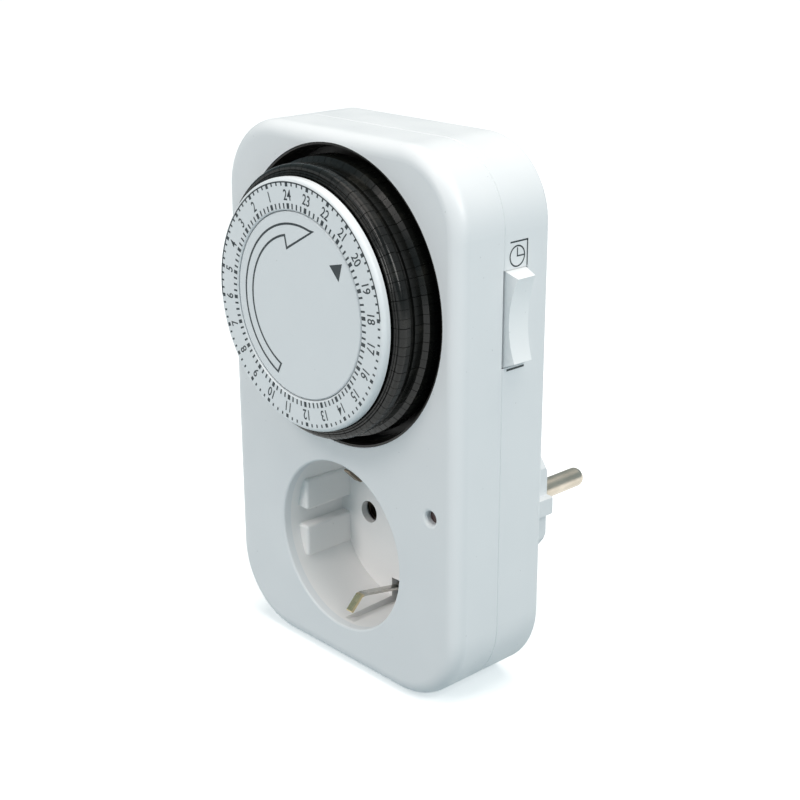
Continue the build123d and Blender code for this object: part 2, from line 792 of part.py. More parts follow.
def make_tappets(hour, tappet):
    """The four tappets that cover one hour, standing out."""
    step = 360 / HOURS / TAPPETS_PER_HOUR
    with BuildPart() as tappets:
        for quarter in range(TAPPETS_PER_HOUR):
            number = TAPPETS_PER_HOUR * hour + quarter
            play = TAPPET_PLAY * sin(TAPPET_PLAY_STEP * number)
            angle = first_tappet_angle() + step * number + play
            with Locations(Location((0, 0, DIAL_Z), (0, -angle, 0))):
                add(tappet)
    save(tappets, f"tappets_{hour + 1:02d}")


def make_dial_gear():
    with BuildPart() as dial_gear:
        with BuildSketch(at_depth(10.6)):
            with Locations((0, DIAL_Z)):
                gear_face(DIAL_TEETH, IDLER_ANGLE)
                Circle(HUB_R, mode=Mode.SUBTRACT)
        extrude(amount=1.5)
        with BuildSketch(at_depth(10.6)):
            with Locations((0, DIAL_Z)):
                with PolarLocations(13.2, 6):
                    Circle(4.0)
        extrude(amount=1.5, mode=Mode.SUBTRACT)
        with BuildSketch(at_depth(9.1)):
            with Locations((0, DIAL_Z)):
                Circle(HUB_R + 1.4)
                Circle(HUB_R, mode=Mode.SUBTRACT)
        extrude(amount=0.5)
    save(dial_gear, "dial_gear")


def make_dial_clip():
    """Open spring ring that keeps the gear on the dial's hub."""
    with BuildPart() as dial_clip:
        with BuildSketch(at_depth(11.15)):
            with Locations((0, DIAL_Z)):
                Circle(HUB_R + 1.3)
                Circle(HUB_R - 0.15, mode=Mode.SUBTRACT)
            with Locations((0, DIAL_Z + HUB_R)):
                Rectangle(5.0, 6.0, mode=Mode.SUBTRACT)
        extrude(amount=0.5)
    save(dial_clip, "dial_clip")


def make_dial_well():
    """Dark cup that lines the opening, with a window for the follower and posts behind."""
    with BuildPart() as dial_well:
        with BuildSketch(section(DIAL_Z)):
            with BuildLine():
                Polyline(
                    (6.0, 4.4),
                    (7.4, 4.4),
                    (7.4, WELL_FLOOR),
                    (WELL_INNER_R, WELL_FLOOR),
                    (WELL_INNER_R, WELL_FRONT + 2),
                    (WELL_RIM_R, WELL_FRONT),
                    (WELL_R, WELL_FRONT),
                    (WELL_R, WELL_BACK),
                    (6.0, WELL_BACK),
                    close=True,
                )
            make_face()
        revolve(axis=axis_along_y(0, DIAL_Z))
        with BuildSketch(at_depth(3.4)):
            with Locations((0, DIAL_Z)):
                Circle(34.4)
                Circle(WELL_R - 0.2, mode=Mode.SUBTRACT)
            with Locations((0, TOP_Z - WALL - 0.2 - 35)):
                Rectangle(2 * (HALF_WIDTH - WALL) - 1, 70, mode=Mode.INTERSECT)
            with Locations((0, 0)):
                Circle(CUP_R + 0.4, mode=Mode.SUBTRACT)
        extrude(amount=3.4 - WALL - PART_GAP)
        with BuildSketch(at_depth(WELL_BACK)):
            with Locations((FOLLOWER_X, FOLLOWER_Z - 0.4)):
                Rectangle(3.4, 4.4)
        extrude(amount=WELL_BACK - WELL_FLOOR, mode=Mode.SUBTRACT)
        posts = [around_dial(angle, PLATE_POST_ORBIT) for angle in PLATE_POSTS]
        with BuildSketch(at_depth(PLATE_FRONT)):
            with Locations(*posts):
                Circle(2.2)
        extrude(amount=PLATE_FRONT - WELL_BACK)
        with BuildSketch(at_depth(PLATE_FRONT)):
            with Locations(*posts):
                Circle(1.05)
        extrude(amount=5.0, mode=Mode.SUBTRACT)
    save(dial_well, "dial_well")


# ---------------------------------------------------------------- mechanism
def make_mechanism_plate():
    lug_gap = 5.0
    with BuildPart() as mechanism_plate:
        with BuildSketch(at_depth(PLATE_BACK)):
            with Locations((0, 54.5)):
                RectangleRounded(66, 49, 3)
            with Locations((0, 70)):
                RectangleRounded(50, 34, 3)
            with Locations((34, ROCKER_Z)):
                Rectangle(14, 24, mode=Mode.SUBTRACT)
            with Locations((0, DIAL_Z)):
                Circle(2.0 + RUNNING_GAP, mode=Mode.SUBTRACT)
            with Locations(IDLER):
                Circle(ARBOR_R, mode=Mode.SUBTRACT)
            with Locations(MOTOR):
                Circle(2.6, mode=Mode.SUBTRACT)
            with Locations((FOLLOWER_X, 74.0)):
                Rectangle(5.2, 9.0, mode=Mode.SUBTRACT)
            with Locations(*[around_dial(angle, PLATE_POST_ORBIT) for angle in PLATE_POSTS]):
                Circle(1.05, mode=Mode.SUBTRACT)
        extrude(amount=PLATE_BACK - PLATE_FRONT)
        with BuildSketch(side_plane(FOLLOWER_X)):
            with Locations((LEVER_PIVOT_DEPTH + 0.25, LEVER_PIVOT_Z)):
                Rectangle(2.9, 2.8)
            with Locations((LEVER_PIVOT_DEPTH, LEVER_PIVOT_Z)):
                Circle(LEVER_PIN_R, mode=Mode.SUBTRACT)
        extrude(amount=lug_gap / 2 + 1, both=True)
        with BuildSketch(side_plane(FOLLOWER_X)):
            with Locations((LEVER_PIVOT_DEPTH, LEVER_PIVOT_Z)):
                Rectangle(2 * (PLATE_FRONT - LEVER_PIVOT_DEPTH), 6)
        extrude(amount=lug_gap / 2, both=True, mode=Mode.SUBTRACT)
    save(mechanism_plate, "mechanism_plate")


def make_plate_screws():
    posts = [around_dial(angle, PLATE_POST_ORBIT) for angle in PLATE_POSTS]
    with BuildPart() as plate_screws:
        with BuildSketch(at_depth(PLATE_BACK + 1.3)):
            with Locations(*posts):
                Circle(1.9)
        extrude(amount=1.3)
        with BuildSketch(at_depth(PLATE_BACK)):
            with Locations(*posts):
                Circle(1.0)
        extrude(amount=5.0)
        with BuildSketch(at_depth(PLATE_BACK + 1.3)):
            with Locations(*posts):
                Rectangle(2.6, 0.5)
        extrude(amount=0.6, mode=Mode.SUBTRACT)
    save(plate_screws, "plate_screws")


def make_idler_gear():
    """Two-step wheel between the motor and the dial."""
    with BuildPart() as idler_gear:
        with BuildSketch(at_depth(11.6)):
            with Locations(IDLER):
                gear_face(IDLER_PINION_TEETH, IDLER_ANGLE + 180 + 180 / IDLER_PINION_TEETH)
        extrude(amount=2.8)
        with BuildSketch(at_depth(12.9)):
            with Locations(IDLER):
                gear_face(IDLER_WHEEL_TEETH, MOTOR_ANGLE)
        extrude(amount=1.3)
        with BuildSketch(at_depth(13.5)):
            with Locations(IDLER):
                Circle(1.8)
        extrude(amount=0.6)
        with BuildSketch(at_depth(13.5)):
            with Locations(IDLER):
                Circle(ARBOR_R + RUNNING_GAP)
        extrude(amount=6.0, mode=Mode.SUBTRACT)
    save(idler_gear, "idler_gear")


def make_idler_arbor():
    with BuildPart() as idler_arbor:
        with BuildSketch(at_depth(PLATE_BACK)):
            with Locations(IDLER):
                Circle(ARBOR_R)
        extrude(amount=PLATE_BACK - 8.2)
        with BuildSketch(at_depth(PLATE_BACK + 0.5)):
            with Locations(IDLER):
                Circle(1.2)
        extrude(amount=0.5)
    save(idler_arbor, "idler_arbor")


def make_motor_case():
    """Steel cup of the synchronous motor, open at the back, with a bearing nose."""
    with BuildPart() as motor_case:
        with BuildSketch(at_depth(MOTOR_BACK - 0.8)):
            with Locations(MOTOR):
                Circle(MOTOR_R)
        extrude(amount=MOTOR_BACK - 0.8 - PLATE_BACK)
        with BuildSketch(at_depth(MOTOR_BACK - 0.8)):
            with Locations(MOTOR):
                Circle(MOTOR_R - 0.6)
                Circle(3.2, mode=Mode.SUBTRACT)
        extrude(amount=MOTOR_BACK - 0.8 - PLATE_BACK - 0.8, mode=Mode.SUBTRACT)
        with BuildSketch(at_depth(PLATE_BACK)):
            with Locations(MOTOR):
                Circle(2.5)
        extrude(amount=PLATE_BACK - PLATE_FRONT)
        with BuildSketch(at_depth(19.0)):
            with Locations(MOTOR):
                Circle(ARBOR_R + RUNNING_GAP)
        extrude(amount=19.0 - PLATE_FRONT, mode=Mode.SUBTRACT)
    save(motor_case, "motor_case")


def make_motor_cover():
    with BuildPart() as motor_cover:
        with BuildSketch(at_depth(MOTOR_BACK)):
            with Locations(MOTOR):
                Circle(MOTOR_R)
        extrude(amount=0.8)
        with BuildSketch(at_depth(MOTOR_BACK - 0.8)):
            with Locations(MOTOR):
                Circle(MOTOR_R - 0.8)
                Circle(MOTOR_R - 2.0, mode=Mode.SUBTRACT)
        extrude(amount=1.5)
    save(motor_cover, "motor_cover")


def make_motor_pinion():
    with BuildPart() as motor_pinion:
        with BuildSketch(at_depth(13.3)):
            with Locations(MOTOR):
                gear_face(MOTOR_TEETH, MOTOR_ANGLE + 180 + 180 / MOTOR_TEETH)
        extrude(amount=2.1)
        with BuildSketch(at_depth(18.8)):
            with Locations(MOTOR):
                Circle(ARBOR_R)
        extrude(amount=5.5)
    save(motor_pinion, "motor_pinion")


def make_follower_lever():
    """Lever whose nose waits behind the tappets and whose back works the switch."""
    with BuildPart() as follower_lever:
        with BuildSketch(side_plane(FOLLOWER_X)):
            with Locations((LEVER_PIVOT_DEPTH, LEVER_PIVOT_Z)):
                Circle(1.3)
            with BuildLine():
                Polyline(
                    (LEVER_PIVOT_DEPTH - 0.6, LEVER_PIVOT_Z),
                    (LEVER_PIVOT_DEPTH - 0.6, FOLLOWER_Z - 1.0),
                    (WELL_BACK, FOLLOWER_Z - 1.0),
                    (6.35, FOLLOWER_Z - 0.4),
                    (6.35, FOLLOWER_Z + 0.4),
                    (WELL_BACK, FOLLOWER_Z + 1.0),
                    (LEVER_PIVOT_DEPTH + 0.6, FOLLOWER_Z + 1.0),
                    (LEVER_PIVOT_DEPTH + 0.6, LEVER_PIVOT_Z),
                    close=True,
                )
            make_face()
            with Locations((LEVER_PIVOT_DEPTH, LEVER_PIVOT_Z)):
                Circle(LEVER_PIN_R + RUNNING_GAP, mode=Mode.SUBTRACT)
        extrude(amount=1.2, both=True)
        with BuildSketch(side_plane(FOLLOWER_X)):
            with Locations((LEVER_PIVOT_DEPTH, LEVER_PIVOT_Z)):
                Circle(1.3)
                Circle(LEVER_PIN_R + RUNNING_GAP, mode=Mode.SUBTRACT)
        extrude(amount=2.3, both=True)
    save(follower_lever, "follower_lever")


def make_lever_pin():
    with BuildPart() as lever_pin:
        with BuildSketch(side_plane(FOLLOWER_X)):
            with Locations((LEVER_PIVOT_DEPTH, LEVER_PIVOT_Z)):
                Circle(LEVER_PIN_R)
        extrude(amount=3.7, both=True)
    save(lever_pin, "lever_pin")


def make_microswitch_body():
    with BuildPart() as microswitch_body:
        with BuildSketch(at_depth(22.3)):
            with Locations((FOLLOWER_X, PLUNGER_Z)):
                RectangleRounded(12.0, 6.0, 0.4)
        extrude(amount=22.3 - PLATE_BACK)
        with BuildSketch(at_depth(18.5)):
            with Locations((FOLLOWER_X, PLUNGER_Z)):
                Circle(PLUNGER_R + RUNNING_GAP)
        extrude(amount=18.5 - PLATE_BACK, mode=Mode.SUBTRACT)
        with BuildSketch(at_depth(21.9)):
            with Locations((19.7, 65.3)):
                Rectangle(2.2, 7.6)
        extrude(amount=0.5)
        with BuildSketch(at_depth(21.7)):
            with Locations((26.2, 65.3)):
                Rectangle(2.2, 7.6)
        extrude(amount=0.5)
    save(microswitch_body, "microswitch_body")


def make_microswitch_plunger():
    with BuildPart() as microswitch_plunger:
        with BuildSketch(at_depth(17.2)):
            with Locations((FOLLOWER_X, PLUNGER_Z)):
                Circle(PLUNGER_R)
        extrude(amount=17.2 - PLUNGER_TIP)
        fillet(microswitch_plunger.edges().sort_by(Axis.Y)[0], 0.4)
    save(microswitch_plunger, "microswitch_plunger")


# ---------------------------------------------------------------- side rocker
def make_rocker():
    """Concave rocker, drafted on its long sides, with a narrower hub inside."""
    inner_half = sqrt(ROCKER_END_R ** 2 - (ROCKER_INNER_X - ROCKER_PIVOT_X) ** 2)
    with BuildPart() as rocker:
        with BuildSketch(Plane.XZ.offset(-(FRONT_Y + ROCKER_DEPTH))):
            with BuildLine():
                hollow = ThreePointArc(
                    (40.3, ROCKER_Z + 8.9), (38.35, ROCKER_Z - 0.9), (39.85, ROCKER_Z - 8.9)
                )
                Line(hollow @ 1, (ROCKER_EDGE_X, ROCKER_Z - ROCKER_HALF))
                RadiusArc(
                    (ROCKER_EDGE_X, ROCKER_Z - ROCKER_HALF), (ROCKER_INNER_X, ROCKER_Z - inner_half), ROCKER_END_R
                )
                Polyline(
                    (ROCKER_INNER_X, ROCKER_Z - inner_half),
                    (ROCKER_INNER_X, ROCKER_Z - 5.5),
                    (31.5, ROCKER_Z - 2.5),
                    (31.5, ROCKER_Z + 2.5),
                    (ROCKER_INNER_X, ROCKER_Z + 5.5),
                    (ROCKER_INNER_X, ROCKER_Z + inner_half),
                )
                RadiusArc(
                    (ROCKER_INNER_X, ROCKER_Z + inner_half), (ROCKER_EDGE_X, ROCKER_Z + ROCKER_HALF), ROCKER_END_R
                )
                Line((ROCKER_EDGE_X, ROCKER_Z + ROCKER_HALF), hollow @ 0)
            make_face()
        extrude(amount=ROCKER_HALF_WIDTH, both=True)
        with BuildSketch(Plane.XY.offset(ROCKER_Z)):
            with Locations((0, FRONT_Y + ROCKER_DEPTH)):
                Polygon(
                    (30, -2.4),
                    (ROCKER_INNER_X, -2.4),
                    (ROCKER_INNER_X, -ROCKER_HALF_WIDTH),
                    (HALF_WIDTH, -ROCKER_HALF_WIDTH),
                    (41.0, -2.35),
                    (41.0, 2.35),
                    (HALF_WIDTH, ROCKER_HALF_WIDTH),
                    (ROCKER_INNER_X, ROCKER_HALF_WIDTH),
                    (ROCKER_INNER_X, 2.4),
                    (30, 2.4),
                    align=None,
                )
        extrude(amount=ROCKER_HALF + 1, both=True, mode=Mode.INTERSECT)
        with BuildSketch(at_depth(ROCKER_DEPTH + ROCKER_HALF_WIDTH)):
            with Locations((ROCKER_PIVOT_X, ROCKER_Z)):
                Circle(ROCKER_PIN_R + RUNNING_GAP)
        extrude(amount=2 * ROCKER_HALF_WIDTH, mode=Mode.SUBTRACT)
    save(rocker, "rocker")


def make_rocker_bracket():
    """U-shaped frame inside the housing, with the pin the rocker turns on."""
    with BuildPart() as rocker_bracket:
        with BuildSketch(at_depth(20.1)):
            with BuildLine():
                Polyline(
                    (27.4, ROCKER_Z - 8),
                    (29.0, ROCKER_Z - 8),
                    (35.0, ROCKER_Z - 3),
                    (35.0, ROCKER_Z + 3),
                    (29.0, ROCKER_Z + 8),
                    (27.4, ROCKER_Z + 8),
                    close=True,
                )
            make_face()
        extrude(amount=8.1)
        with BuildSketch(at_depth(ROCKER_DEPTH + ROCKER_HALF_WIDTH + PART_GAP)):
            with Locations((28.6 + 6, ROCKER_Z)):
                Rectangle(12, 18)
        extrude(amount=2 * (ROCKER_HALF_WIDTH + PART_GAP), mode=Mode.SUBTRACT)
        with BuildSketch(at_depth(PLATE_BACK + 1.2)):
            with Locations((25.2, ROCKER_Z)):
                Rectangle(6.4, 10)
        extrude(amount=1.2)
        with BuildSketch(at_depth(20.1)):
            with Locations((ROCKER_PIVOT_X, ROCKER_Z)):
                Circle(ROCKER_PIN_R)
        extrude(amount=8.1)
    save(rocker_bracket, "rocker_bracket")


# ---------------------------------------------------------------- lamp
def make_indicator_lens():
    with BuildPart() as indicator_lens:
        with BuildSketch(at_depth(3.2)):
            with Locations((LAMP_X, LAMP_Z)):
                Circle(2.7)
        extrude(amount=3.2 - WALL)
        with BuildSketch(at_depth(WALL)):
            with Locations((LAMP_X, LAMP_Z)):
                Circle(LAMP_HOLE_R - 0.05)
        extrude(amount=0.6)
        fillet(indicator_lens.edges().sort_by(Axis.Y)[0], 0.4)
    save(indicator_lens, "indicator_lens")


def make_indicator_lamp():
    """Neon lamp: a glass envelope with a rounded nose and two leads."""
    with BuildPart() as indicator_lamp:
        with BuildSketch(at_depth(12.5)):
            with Locations((LAMP_X, LAMP_Z)):
                Circle(2.0)
        extrude(amount=9.0)
        fillet(indicator_lamp.edges().sort_by(Axis.Y)[0], 1.6)
        with BuildSketch(at_depth(19.0)):
            with Locations((LAMP_X - 1, LAMP_Z), (LAMP_X + 1, LAMP_Z)):
                Circle(0.25)
        extrude(amount=6.5)
    save(indicator_lamp, "indicator_lamp")


make_front_shell()
make_socket_cup()
make_rear_shell()
make_plug_body()
make_case_screws()
make_plug_pin("pin_live", PIN_X)
make_plug_pin("pin_neutral", -PIN_X)
make_contact("contact_live", PIN_X, 40.0)
make_contact("contact_neutral", -PIN_X, 42.0)
make_contact_carrier()
make_earth_spring("earth_spring_upper", 1)
make_earth_spring("earth_spring_lower", -1)
make_live_strip()
make_load_strip()
make_number_ring()
make_centre_disc()
make_spindle()
make_segment_carrier()
plain_tappet = single_tappet()
for hour in range(HOURS):
    make_tappets(hour, plain_tappet)
make_dial_gear()
make_dial_clip()
make_dial_well()
make_mechanism_plate()
make_plate_screws()
make_idler_gear()
make_idler_arbor()
make_motor_case()
make_motor_cover()
make_motor_pinion()
make_follower_lever()
make_lever_pin()
make_microswitch_body()
make_microswitch_plunger()
make_rocker()
make_rocker_bracket()
make_indicator_lens()
make_indicator_lamp()
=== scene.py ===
import json
import math

import bmesh
import bpy
from mathutils import Matrix, Vector


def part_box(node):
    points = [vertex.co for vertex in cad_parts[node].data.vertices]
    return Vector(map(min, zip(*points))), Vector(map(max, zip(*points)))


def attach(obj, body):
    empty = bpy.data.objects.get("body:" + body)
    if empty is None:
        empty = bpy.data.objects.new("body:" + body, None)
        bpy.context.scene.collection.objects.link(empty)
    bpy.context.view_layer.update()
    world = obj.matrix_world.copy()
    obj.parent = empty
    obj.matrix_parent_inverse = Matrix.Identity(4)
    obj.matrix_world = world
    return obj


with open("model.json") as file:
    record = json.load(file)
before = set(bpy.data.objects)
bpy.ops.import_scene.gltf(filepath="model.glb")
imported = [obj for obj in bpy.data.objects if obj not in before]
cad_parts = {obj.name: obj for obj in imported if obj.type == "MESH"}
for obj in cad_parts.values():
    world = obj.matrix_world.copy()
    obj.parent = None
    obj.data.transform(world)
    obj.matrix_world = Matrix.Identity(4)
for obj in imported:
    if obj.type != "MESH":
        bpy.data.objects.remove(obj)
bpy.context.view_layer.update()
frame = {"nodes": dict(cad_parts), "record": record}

nodes = frame["nodes"]

MM = 0.001
PRINT = 0.00002                     # how far printed ink stands off its surface

ring_low, ring_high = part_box("number_ring")
disc_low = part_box("centre_disc")[0]
shell_low, shell_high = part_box("front_shell")
rear_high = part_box("rear_shell")[1]
DIAL_Z = (ring_low.z + ring_high.z) / 2
RING_FACE = ring_low.y
DISC_FACE = disc_low.y
FRONT = shell_low.y
SIDE = shell_high.x
HOUR_STEP = math.radians(15)
PHASE = math.radians(-5.48)         # clockwise angle of the 24 h mark from the top

# radii of what is printed on the number ring
MARK_INNER = (20.50 * MM, 21.66 * MM)
HOUR_OUTER = (25.06 * MM, 25.92 * MM)
QUARTER_OUTER = (25.20 * MM, 25.92 * MM)
HOUR_WIDTH = 0.80 * MM
QUARTER_WIDTH = 0.42 * MM
NIGHT_ARC = (25.84 * MM, 26.14 * MM)
NUMERAL_R = 23.35 * MM
NUMERAL_SIZE = 3.15 * MM
NUMERAL_WEIGHT = 0.04 * MM
NUMERAL_NARROWING = 0.80

# the arrow and the pointer printed on the centre disc
ARROW_OUTER_R = 17.4 * MM
ARROW_INNER_R = 15.08 * MM
ARROW_OUTER_ARC = (math.radians(-155.8), math.radians(14.5))
ARROW_INNER_ARC = (math.radians(-13.9), math.radians(-156.4))
ARROW_TIP = (5.42 * MM, 16.8 * MM)
ARROW_BARB = (-3.0 * MM, 11.99 * MM)
ARROW_LINE = 0.48 * MM
POINTER_R = 16.4 * MM
POINTER_ANGLE = math.radians(51.5)
POINTER_HEADING = math.radians(46)
POINTER_SIZE = 2.34 * MM

# the clock symbol and bracket printed beside the rocker, as (depth, height) in mm
CLOCK_CENTRE = (16.3, 71.0)
CLOCK_R = 2.1
CLOCK_LINE = 0.32
MINUTE_HAND = 1.6
HOUR_HAND = 1.8
HAND_LINE = 0.30
BRACKET_START = (14.4, 74.0)
BRACKET_CORNER = (19.2, 74.0)
BRACKET_END = (19.2, 68.8)
BRACKET_LINE = 0.34
LOWER_MARK = ((14.1, 47.5), (18.8, 47.5))
LOWER_LINE = 0.46

CLIP_BEND_DEPTH = 6.4 * MM          # where the lower earth contact turns inwards


# ---------------------------------------------------------------- materials
def principled(name, color, roughness, metallic=0.0):
    """A material with a Principled shader, returned with its nodes, links and shader."""
    mat = bpy.data.materials.new(name)
    mat.use_nodes = True
    tree = mat.node_tree
    shader = tree.nodes["Principled BSDF"]
    shader.inputs["Base Color"].default_value = (*color, 1)
    shader.inputs["Roughness"].default_value = roughness
    shader.inputs["Metallic"].default_value = metallic
    return mat, tree, shader


def noise(tree, scale, detail=4.0, roughness=0.5):
    """Noise texture over the object's own coordinates."""
    coords = tree.nodes.new("ShaderNodeTexCoord")
    tex = tree.nodes.new("ShaderNodeTexNoise")
    tex.inputs["Scale"].default_value = scale
    tex.inputs["Detail"].default_value = detail
    tex.inputs["Roughness"].default_value = roughness
    tree.links.new(coords.outputs["Object"], tex.inputs["Vector"])
    return tex


def ramp(tree, source, low, high, start=0.35, end=0.65):
    """A colour or grey ramp from low to high, driven by a texture's factor."""
    node = tree.nodes.new("ShaderNodeValToRGB")
    node.color_ramp.elements[0].position = start
    node.color_ramp.elements[1].position = end
    node.color_ramp.elements[0].color = low
    node.color_ramp.elements[1].color = high
    tree.links.new(source, node.inputs["Fac"])
    return node


def grey(value):
    return (value, value, value, 1)


def add_bump(tree, shader, sources, strength, distance):
    """Chains bumps from several height sources into the shader's normal."""
    normal = None
    for height in sources:
        bump = tree.nodes.new("ShaderNodeBump")
        bump.inputs["Strength"].default_value = strength
        bump.inputs["Distance"].default_value = distance
        tree.links.new(height, bump.inputs["Height"])
        if normal is not None:
            tree.links.new(normal, bump.inputs["Normal"])
        normal = bump.outputs["Normal"]
    tree.links.new(normal, shader.inputs["Normal"])


def specks(tree, low, high, scale, size):
    """Colour output: sparse small specks of the low colour on the high one."""
    coords = tree.nodes.new("ShaderNodeTexCoord")
    cells = tree.nodes.new("ShaderNodeTexVoronoi")
    cells.inputs["Scale"].default_value = scale
    tree.links.new(coords.outputs["Object"], cells.inputs["Vector"])
    return ramp(tree, cells.outputs["Distance"], low, high, size, size + 0.02)


def moulded_plastic(name, color, dark, roughness, grain=0.000012, coarse=900):
    """Moulded plastic: fine spark grain, a slight mottle, rare specks and uneven sheen."""
    mat, tree, shader = principled(name, color, roughness)
    mottle = noise(tree, 35, 3)
    tint = ramp(tree, mottle.outputs["Fac"], (*dark, 1), (*color, 1), 0.2, 0.8)
    fine = noise(tree, coarse, 6)
    dust = specks(tree, (*[c * 0.72 for c in color], 1), grey(1.0), 260, 0.035)
    mix = tree.nodes.new("ShaderNodeMix")
    mix.data_type = "RGBA"
    mix.blend_type = "MULTIPLY"
    mix.inputs["Factor"].default_value = 0.35
    tree.links.new(tint.outputs["Color"], mix.inputs["A"])
    tree.links.new(dust.outputs["Color"], mix.inputs["B"])
    tree.links.new(mix.outputs["Result"], shader.inputs["Base Color"])
    sheen = noise(tree, 120, 5)
    rough = ramp(tree, sheen.outputs["Fac"], grey(roughness - 0.05), grey(roughness + 0.07))
    tree.links.new(rough.outputs["Color"], shader.inputs["Roughness"])
    add_bump(tree, shader, [fine.outputs["Fac"], mottle.outputs["Fac"]], 0.35, grain)
    return mat


def metal(name, color, dark, roughness, stretch=12, scale=400):
    """Drawn or stamped metal with fine lines along Y and duller patches."""
    mat, tree, shader = principled(name, color, roughness, 1.0)
    coords = tree.nodes.new("ShaderNodeTexCoord")
    mapping = tree.nodes.new("ShaderNodeMapping")
    mapping.inputs["Scale"].default_value = (1, 1 / stretch, 1)
    tree.links.new(coords.outputs["Object"], mapping.inputs["Vector"])
    lines = tree.nodes.new("ShaderNodeTexNoise")
    lines.inputs["Scale"].default_value = scale
    lines.inputs["Detail"].default_value = 5
    tree.links.new(mapping.outputs["Vector"], lines.inputs["Vector"])
    patches = noise(tree, 160, 4)
    tint = ramp(tree, patches.outputs["Fac"], (*dark, 1), (*color, 1), 0.3, 0.7)
    tree.links.new(tint.outputs["Color"], shader.inputs["Base Color"])
    rough = ramp(tree, lines.outputs["Fac"], grey(roughness * 0.7), grey(roughness * 1.3))
    tree.links.new(rough.outputs["Color"], shader.inputs["Roughness"])
    add_bump(tree, shader, [lines.outputs["Fac"]], 0.3, 0.00002)
    return mat


def plated_clip(name, plain, brassy, roughness, bend_y):
    """Plated spring strip whose plating has worn to brass in front of the bend."""
    blend = 0.4 * MM
    mat = metal(name, plain, tuple(c * 0.78 for c in plain), roughness)
    tree = mat.node_tree
    shader = tree.nodes["Principled BSDF"]
    before = shader.inputs["Base Color"].links[0].from_socket
    coords = tree.nodes.new("ShaderNodeTexCoord")
    split = tree.nodes.new("ShaderNodeSeparateXYZ")
    tree.links.new(coords.outputs["Object"], split.inputs["Vector"])
    edge = tree.nodes.new("ShaderNodeMapRange")
    edge.inputs["From Min"].default_value = bend_y - blend
    edge.inputs["From Max"].default_value = bend_y + blend
    tree.links.new(split.outputs["Y"], edge.inputs["Value"])
    mix = tree.nodes.new("ShaderNodeMix")
    mix.data_type = "RGBA"
    mix.inputs["A"].default_value = (*brassy, 1)
    tree.links.new(edge.outputs["Result"], mix.inputs["Factor"])
    tree.links.new(before, mix.inputs["B"])
    tree.links.new(mix.outputs["Result"], shader.inputs["Base Color"])
    return mat


def scuffed_black(name, color, light, roughness):
    """Black moulded plastic with handling scuffs and a worn, lighter sheen."""
    mat, tree, shader = principled(name, color, roughness)
    shader.inputs["Specular IOR Level"].default_value = 0.30
    scuff = noise(tree, 220, 8, 0.7)
    tint = ramp(tree, scuff.outputs["Fac"], (*color, 1), (*light, 1), 0.52, 0.78)
    tree.links.new(tint.outputs["Color"], shader.inputs["Base Color"])
    broad = noise(tree, 90, 4)
    rough = ramp(tree, broad.outputs["Fac"], grey(roughness - 0.08), grey(roughness + 0.1))
    tree.links.new(rough.outputs["Color"], shader.inputs["Roughness"])
    fine = noise(tree, 1500, 5)
    add_bump(tree, shader, [fine.outputs["Fac"], broad.outputs["Fac"]], 0.35, 0.00002)
    return mat


housing_mat = moulded_plastic("housing", (0.80, 0.81, 0.82), (0.775, 0.787, 0.80), 0.42)
dial_mat = moulded_plastic("dial_white", (0.78, 0.80, 0.815), (0.76, 0.78, 0.795), 0.36, 0.000006)
rocker_mat = moulded_plastic("rocker_white", (0.90, 0.905, 0.91), (0.88, 0.885, 0.89), 0.34, 0.000008)
# Lighter, warmer copy of the housing white for the socket cup: painted light that brightens the recess floor
# and walls
lit_cup_mat = moulded_plastic("recess_white_painted_light", (0.88, 0.862, 0.85), (0.86, 0.845, 0.835), 0.42)
tappet_mat = scuffed_black("tappet_black", (0.0048, 0.0052, 0.0046), (0.021, 0.020, 0.016), 0.27)
carrier_mat = scuffed_black("carrier_black", (0.004, 0.004, 0.0045), (0.009, 0.009, 0.0085), 0.5)
liner_mat = scuffed_black("liner_dark", (0.0095, 0.0085, 0.007), (0.016, 0.014, 0.011), 0.44)
grey_mat = moulded_plastic("inner_grey", (0.30, 0.31, 0.32), (0.27, 0.28, 0.29), 0.55)
gear_mat = moulded_plastic("gear_acetal", (0.80, 0.80, 0.76), (0.76, 0.76, 0.72), 0.38)
nickel_mat = metal("nickel", (0.66, 0.59, 0.50), (0.52, 0.46, 0.38), 0.38)
# Darkened copy of the plated metal: painted shade for the upper earth strip and for the contacts seen deep
# inside the pin holes
shade_darkened_metal_mat = metal("shade_darkened_strip", (0.24, 0.20, 0.15), (0.15, 0.125, 0.10), 0.42)
clip_mat = plated_clip("clip_plating", (0.54, 0.53, 0.50), (0.70, 0.58, 0.36), 0.30, FRONT + CLIP_BEND_DEPTH)
brass_mat = metal("brass", (0.72, 0.54, 0.28), (0.60, 0.43, 0.20), 0.32)
steel_mat = metal("steel", (0.56, 0.56, 0.57), (0.42, 0.42, 0.43), 0.34)
ink_mat = scuffed_black("printed_ink", (0.030, 0.040, 0.046), (0.045, 0.056, 0.062), 0.5)


def clear_plastic(name, color, roughness, transmission):
    """Tinted see-through material with a faint cloudiness."""
    mat, tree, shader = principled(name, color, roughness)
    shader.inputs["Transmission Weight"].default_value = transmission
    shader.inputs["IOR"].default_value = 1.49
    cloud = noise(tree, 300, 4)
    tint = ramp(tree, cloud.outputs["Fac"], (*[c * 0.8 for c in color], 1), (*color, 1))
    tree.links.new(tint.outputs["Color"], shader.inputs["Base Color"])
    rough = ramp(tree, cloud.outputs["Fac"], grey(roughness), grey(roughness + 0.1))
    tree.links.new(rough.outputs["Color"], shader.inputs["Roughness"])
    add_bump(tree, shader, [cloud.outputs["Fac"]], 0.2, 0.00001)
    return mat


lens_mat = clear_plastic("red_lens", (0.028, 0.005, 0.005), 0.3, 0.05)
lamp_mat = clear_plastic("lamp_glass", (0.80, 0.52, 0.38), 0.08, 0.8)

